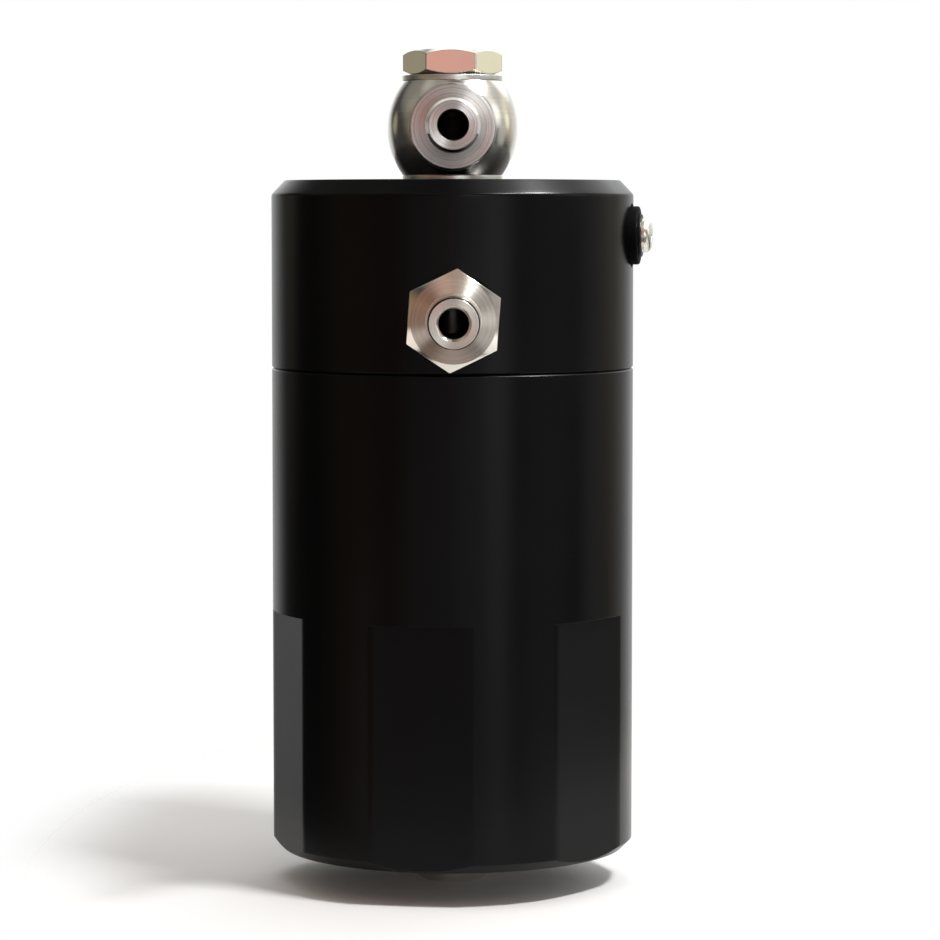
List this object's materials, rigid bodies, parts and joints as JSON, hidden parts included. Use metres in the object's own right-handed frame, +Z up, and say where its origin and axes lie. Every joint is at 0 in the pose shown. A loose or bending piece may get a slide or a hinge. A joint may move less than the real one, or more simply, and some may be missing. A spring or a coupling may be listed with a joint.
{
  "type": "oil catch can",
  "caption": "Black cylindrical oil catch can: screwed bowl with a drain plug, head with a swivelling banjo outlet, a barbed hose inlet, a side mounting point and inner baffles.",
  "frame": {"origin": "on the can's axis, at the lower face of the drain plug that it stands on", "axes": "+Z up along the can's axis, -Y to the front, where both hose tails point, +X to the side of the mounting screw"},
  "size_m": [0.0841, 0.108, 0.1842],
  "materials": {
    "black_anodised_aluminium": "satin",
    "stainless_steel": "polished",
    "plain_aluminium": "satin",
    "black_rubber": "matte",
    "black_steel": "satin",
    "knitted_wire": "satin"
  },
  "bodies": {
    "head": {"head": "black_anodised_aluminium", "outlet_tube": "plain_aluminium", "upper_baffle": "plain_aluminium", "mesh_pad": "knitted_wire", "lower_baffle": "plain_aluminium", "retaining_clip": "black_steel", "banjo_bolt": "stainless_steel", "banjo_upper_washer": "plain_aluminium", "banjo_lower_washer": "plain_aluminium", "inlet_union": "stainless_steel", "inlet_washer": "plain_aluminium", "mount_isolator": "black_rubber", "mount_washer": "black_steel", "mount_screw": "stainless_steel"},
    "bowl_seal": {"bowl_seal": "black_rubber"},
    "bowl": {"bowl": "black_anodised_aluminium"},
    "banjo_union": {"banjo_union": "stainless_steel"},
    "drain_washer": {"drain_washer": "plain_aluminium"},
    "drain_plug": {"drain_plug": "stainless_steel"}
  },
  "joints": [
    {"name": "bowl_turn", "type": "hinge", "parent": "head", "child": "bowl_seal", "pos_m": [0, 0, 0.1143], "axis": [0, 0, -1], "range_deg": [0, 1440]},
    {"name": "bowl_drop", "type": "slide", "parent": "bowl_seal", "child": "bowl", "axis": [0, 0, -1], "range_m": [0, 0.008]},
    {"name": "banjo_swivel", "type": "hinge", "parent": "head", "child": "banjo_union", "pos_m": [0, 0, 0.16705], "axis": [0, 0, 1], "continuous": true},
    {"name": "drain_drop", "type": "slide", "parent": "bowl", "child": "drain_washer", "axis": [0, 0, -1], "range_m": [0, 0.007]},
    {"name": "drain_turn", "type": "hinge", "parent": "drain_washer", "child": "drain_plug", "pos_m": [0, 0, 0.0077], "axis": [0, 0, -1], "range_deg": [0, 1680]}
  ],
  "couplings": [
    {"joint": "bowl_drop", "follows": "bowl_turn", "m_per_rad": 0.00031831},
    {"joint": "drain_drop", "follows": "drain_turn", "m_per_rad": 0.00023873}
  ]
}
